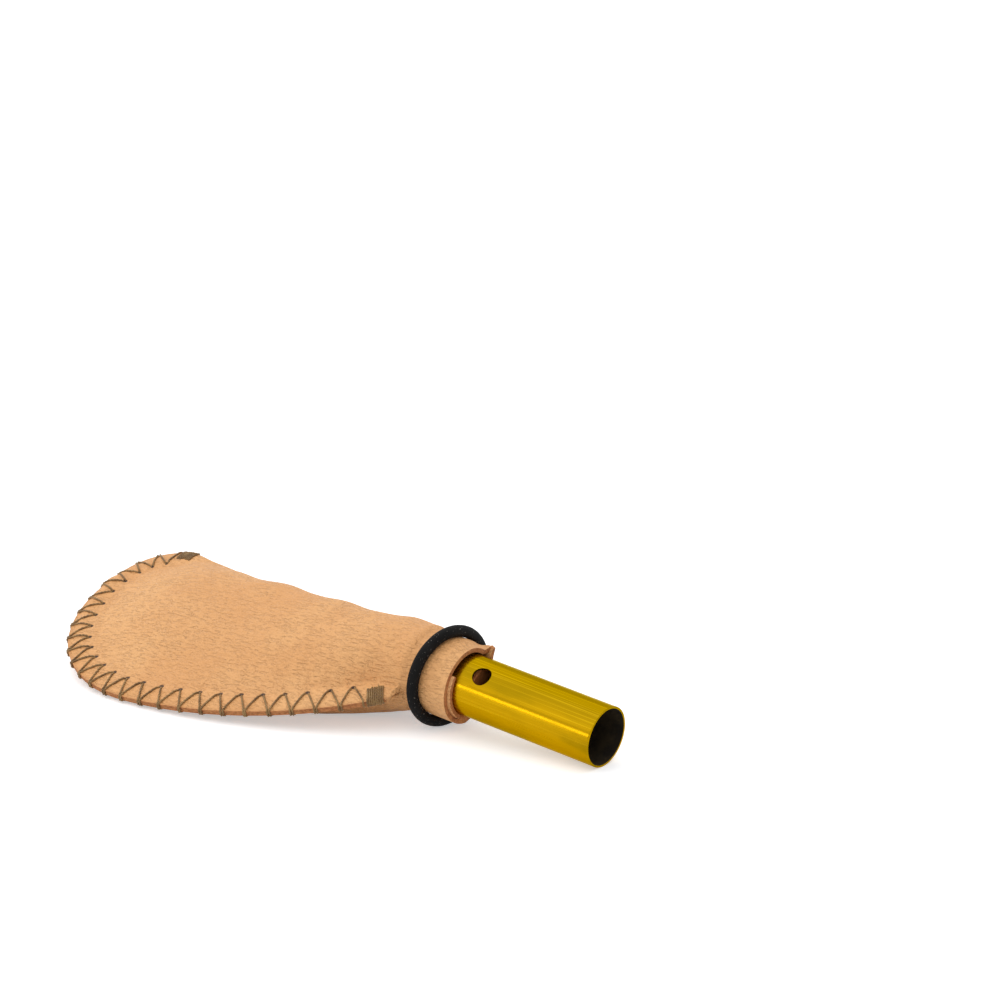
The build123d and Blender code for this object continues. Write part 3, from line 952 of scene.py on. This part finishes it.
# Whistle tube: an unrolled sheet with its window cut out, bent round and given its wall.
tubeForm = {
    "radius": 7.0, "wall": 0.5, "tail": 10.5, "mouth": 44.0, "along": 150, "around": 120,
    "windowAt": 12.5, "windowRadius": 2.25, "windowAngle": 130.0, "windowRim": 1.6,
}
brassLook = {
    "gold": (0.44, 0.245, 0.0020), "olive": (0.24, 0.146, 0.0015), "pale": (0.64, 0.40, 0.008),
    "edge": (0.96, 0.80, 0.30), "topReflectionFrom": 1.2, "topReflectionTo": 6.2,
}
# Inside of the tube: near black, with faint brown patches.
boreLook = {
    "name": "nearBlackBore", "rough": 0.75, "specular": 0.2, "base": (0.010, 0.007, 0.004),
    "layers": (((320, 4.0), (0.35, 0.7), 1.0, (0.032, 0.022, 0.010), 0.0),),
}


# Coordinates turned so that their first axis runs along the tube.
def alongTube(coords):
    turned = [reachAlong(coords, way) for way in (tubeAxis, tubeSide, tubeUp)]
    return putNode(coords.id_data, "ShaderNodeCombineXYZ", dict(enumerate(turned))).outputs[0]


def drawnBrass():
    look = brassLook
    material, shader, coords = newMaterial("drawnBrass", 0.24, 0.5, 1.0)
    shader.inputs["Specular Tint"].default_value = (*look["edge"], 1)
    drawn = alongTube(coords)
    lines = grainNoise(drawn, 2200, 3.0, (0.006, 1, 1), 0.6)
    tarnish = grainNoise(drawn, 120, 4.0, (0.35, 1, 1))
    marks = grainNoise(drawn, 700, 2.0, (0.10, 1, 1))
    colour = mixColour(fade(tarnish, 0.40, 0.72), look["gold"], look["olive"])
    # Painted reflection: the tube's top side turns olive, standing in for the dark reflection seen along its
    # top.
    level = ringCentre.dot(tubeUp)
    ends = level + look["topReflectionFrom"] * mm, level + look["topReflectionTo"] * mm
    darkTopReflection = times(fade(reachAlong(coords, tubeUp), *ends), 0.85)
    colour = mixColour(darkTopReflection, colour, look["olive"])
    colour = mixColour(times(fade(lines, 0.5, 0.72), 0.4), colour, look["pale"])
    feed(shader, "Base Color", colour)
    rough = times(fade(lines, 0.3, 0.7), 0.12, 0.17)
    rough = times(fade(marks, 0.55, 0.75), 0.10, rough)
    feed(shader, "Roughness", rough)
    addBump(shader, lines, 0.20, 0.03 * mm)
    return material


def buildTube():
    form = tubeForm
    bm = bmesh.new()
    bmesh.ops.create_grid(bm, x_segments=form["along"], y_segments=form["around"], size=1)
    for vert in bm.verts:
        vert.co.x = lerp(-form["tail"], form["mouth"], (vert.co.x + 1) / 2)
        vert.co.y *= pi
    away = lambda spot: hypot(spot.x - form["windowAt"], form["radius"] * sin(spot.y))
    facing = lambda spot: abs(spot.y) < pi / 2
    holed = [face for face in bm.faces if facing(face.calc_center_median())
             and away(face.calc_center_median()) < form["windowRadius"]]
    bmesh.ops.delete(bm, geom=holed, context="FACES")
    for vert in bm.verts:
        if vert.is_boundary and facing(vert.co) and away(vert.co) < form["windowRim"] * form["windowRadius"]:
            share = form["windowRadius"] / away(vert.co)
            vert.co.x = form["windowAt"] + (vert.co.x - form["windowAt"]) * share
            vert.co.y = asin(min(max(sin(vert.co.y) * share, -1), 1))
    for vert in bm.verts:
        vert.co = tubePlace(vert.co.x, form["radius"], form["windowAngle"] + degrees(vert.co.y))
    bmesh.ops.remove_doubles(bm, verts=bm.verts, dist=0.003 * mm)
    bmesh.ops.recalc_face_normals(bm, faces=bm.faces)
    bm.normal_update()
    bm.verts.ensure_lookup_table()
    outer = bm.verts[0]
    middle = ringCentre + tubeAxis * (outer.co - ringCentre).dot(tubeAxis)
    if outer.normal.dot(outer.co - middle) < 0:
        bmesh.ops.reverse_faces(bm, faces=bm.faces)
    return bm


whistleTube = pieceFrom(buildTube(), "whistleTube", [drawnBrass(), grainMaterial(boreLook)])
tubeWall = whistleTube.modifiers.new("tubeWall", "SOLIDIFY")
tubeWall.thickness = tubeForm["wall"] * mm
tubeWall.offset = -1
tubeWall.material_offset = 1
tubeWall.use_quality_normals = True
roundEdges(whistleTube, 0.10 * mm, 2, 50)
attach(whistleTube, "whistle")
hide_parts("whistle_tube")
print("whistle tube", len(whistleTube.data.polygons), "faces")

# Fipple block: a round plug with a flat that leaves the windway under the window.
blockForm = {"radius": 6.48, "rear": -7.75, "front": 10.25, "flat": 5.2, "sides": 72, "round": 0.15}
woodLook = {
    "name": "brownHardwood", "rough": 0.6, "specular": 0.35, "base": (0.62, 0.185, 0.048), "bump": (0.3, 0.1),
    "layers": (((520, 4.0, (0.08, 1, 1), 0.6), (0.35, 0.68), 1.0, (0.80, 0.285, 0.082), 1.0),
               ((2400, 2.0, (0.12, 1, 1)), (0.6, 0.75), 0.6, (0.05, 0.02, 0.01), 0.0)),
}
sharpTurn = 0.6  # angle between faces, in radians, from which an end's edge is rounded


def plug(bm, form):
    middle = Vector(((form["rear"] + form["front"]) / 2 * mm, 0, 0))
    spot = tubeFrame @ Matrix.Translation(middle) @ Matrix.Rotation(pi / 2, 4, "Y")
    bmesh.ops.create_cone(bm, cap_ends=True, segments=form["sides"], radius1=form["radius"] * mm,
                          radius2=form["radius"] * mm, depth=(form["front"] - form["rear"]) * mm, matrix=spot)


def roundEnds(bm, width, segments):
    ends = [edge for edge in bm.edges if edge.calc_face_angle(0) > sharpTurn]
    bmesh.ops.bevel(bm, geom=ends, offset=width * mm, segments=segments, profile=0.5, affect="EDGES",
                    material=-1)


def buildBlock():
    bm = bmesh.new()
    plug(bm, blockForm)
    way = tubePlace(0, 1, tubeForm["windowAngle"]) - ringCentre
    way.normalize()
    flat = ringCentre + way * (blockForm["flat"] * mm)
    cut = bmesh.ops.bisect_plane(bm, geom=bm.verts[:] + bm.edges[:] + bm.faces[:], plane_co=flat,
                                 plane_no=way, clear_outer=True)
    rim = [item for item in cut["geom_cut"] if isinstance(item, bmesh.types.BMEdge)]
    bmesh.ops.edgeloop_fill(bm, edges=rim)
    bmesh.ops.recalc_face_normals(bm, faces=bm.faces)
    roundEnds(bm, blockForm["round"], 2)
    return bm


fippleBlock = pieceFrom(buildBlock(), "fippleBlock", [grainMaterial(woodLook)], False)
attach(fippleBlock, "whistle")
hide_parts("fipple_block")

# Tuning stopper: a cork plug deep in the tube.
stopperForm = {"radius": 6.45, "rear": 28.0, "front": 34.0, "sides": 64, "round": 0.4}
corkLook = {
    "name": "pittedCork", "rough": 0.85, "specular": 0.2, "base": (0.42, 0.24, 0.11), "bump": (0.6, 0.3),
    "layers": (((900.0,), (0.2, 0.7), 1.0, (0.55, 0.34, 0.17), 0.0),
               ((700, 3.0), (0.64, 0.74), 1.0, (0.11, 0.05, 0.02), 1.0)),
}


def buildStopper():
    bm = bmesh.new()
    plug(bm, stopperForm)
    roundEnds(bm, stopperForm["round"], 3)
    return bm


tuningStopper = pieceFrom(buildStopper(), "tuningStopper", [grainMaterial(corkLook)])
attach(tuningStopper, "stopper")
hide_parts("tuning_stopper")
print("block and stopper built")

# Horsehair: curled strands that fill the pouch.
hairForm = {
    "strands": 150, "radius": 0.11, "points": 9, "start": 22.0, "end": 76.0, "stride": 1.2, "curl": 1.28,
    "spread": 0.62, "heave": 0.42, "roof": 2.4, "floor": 2.6, "keep": 0.45,
}
hairLook = {
    "name": "curledHorsehair", "rough": 0.45, "specular": 0.5, "base": (0.020, 0.013, 0.009),
    "layers": (((90, 2.0), (0.35, 0.65), 1.0, (0.085, 0.055, 0.035), 0.0),),
}


def buildHair():
    form = hairForm
    sway = random.Random(23)
    lines = []
    for strand in range(form["strands"]):
        behind = sway.uniform(form["start"], form["end"])
        line = []
        for step in range(form["points"]):
            at = behind + step * form["stride"] + form["curl"] * sin(step * 1.7)
            sizes = sectionSizes(at)
            middle, half = (sizes["far"] + sizes["near"]) / 2, (sizes["far"] - sizes["near"]) / 2
            across = middle + half * form["spread"] * sin(strand * 2.4 + step * 0.25)
            room = upperHeight(sizes, at, across) - form["roof"]
            under = readLine(bellyLine(sizes, at), across) - form["floor"]
            level = lerp(-under, room, 0.5 + form["heave"] * sin(strand * 1.7 + step * 1.3))
            line.append(seamPlace(at, across, level if room > -under else (room - under) / 2))
        lines.append(smoothLine(line, 3))
    return threadPiece("horsehair", lines, form["radius"] * mm, grainMaterial(hairLook), 0)


horsehair = buildHair()
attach(horsehair, "pouch")
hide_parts("horsehair_filling")
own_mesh(horsehair)
print("horsehair", len(horsehair.data.polygons), "faces")


# Studio: pale floor, white surroundings, soft lamps and the camera.
studio = {"floorSize": 6.0, "floorGlow": 0.42, "floorTone": (0.90, 0.90, 0.91), "ambient": 0.50,
          "sky": 1.75, "skyAngle": 110.0, "skyFrom": (-0.25, -0.10, 1.0)}
frontStrip = {"spot": (-0.52, -0.80, 0.20), "size": (0.40, 0.06), "power": 0.65}
cameraForm = {"spot": (447.75, -564.41, 259.6), "azimuth": 37.498, "down": 16.02, "lens": 122.4,
              "sensor": 36.0, "clip": 0.01}


def whiteForEye(tree):
    path = tree.nodes.new("ShaderNodeLightPath")
    seen = sumUp("MAXIMUM", path.outputs["Is Camera Ray"], path.outputs["Is Glossy Ray"])
    return sumUp("MAXIMUM", seen, path.outputs["Is Transmission Ray"])


def buildFloor():
    bm = bmesh.new()
    bmesh.ops.create_grid(bm, x_segments=1, y_segments=1, size=studio["floorSize"] / 2)
    material, shader, _ = newMaterial("paleFloor", 0.95, 0.0)
    shader.inputs["Base Color"].default_value = (*studio["floorTone"], 1)
    shader.inputs["Emission Color"].default_value = (1, 1, 1, 1)
    feed(shader, "Emission Strength", times(whiteForEye(material.node_tree), studio["floorGlow"]))
    floor = pieceFrom(bm, "floor", [material], False)


def lightWorld():
    world = bpy.data.worlds.new("studioWorld")
    bpy.context.scene.world = world
    world.use_nodes = True
    background = world.node_tree.nodes["Background"]
    background.inputs["Color"].default_value = (1, 1, 1, 1)
    dim = studio["ambient"]
    feed(background, "Strength", times(whiteForEye(world.node_tree), 1 - dim, dim))


# A lamp that shines from a direction towards the middle.
def hangLamp(name, kind, source, **settings):
    lamp = bpy.data.lights.new(name, kind)
    for key, value in settings.items():
        setattr(lamp, key, value)
    holder = placed(name, lamp)
    holder.rotation_euler = Vector(source).to_track_quat("Z", "Y").to_euler()
    return holder


def placeCamera():
    form = cameraForm
    camera = placed("photoCamera", bpy.data.cameras.new("photoCamera"))
    camera.data.lens = form["lens"]
    camera.data.sensor_width = form["sensor"]
    camera.data.clip_start = form["clip"]
    ground = Vector((ringCentre.x, ringCentre.y, 0))
    camera.location = ground + Vector(form["spot"]) * mm
    turn, down = radians(form["azimuth"]), radians(form["down"])
    back = Vector((sin(turn) * cos(down), -cos(turn) * cos(down), sin(down)))
    camera.rotation_euler = back.to_track_quat("Z", "Y").to_euler()
    bpy.context.scene.camera = camera


buildFloor()
lightWorld()
hangLamp("softSky", "SUN", studio["skyFrom"], energy=studio["sky"], angle=radians(studio["skyAngle"]))
stripLamp = hangLamp("frontStrip", "AREA", frontStrip["spot"], shape="RECTANGLE", size=frontStrip["size"][0],
                     size_y=frontStrip["size"][1], energy=frontStrip["power"])
stripLamp.location = frontStrip["spot"]
placeCamera()
bpy.context.scene.view_settings.view_transform = "Standard"
print("studio set")
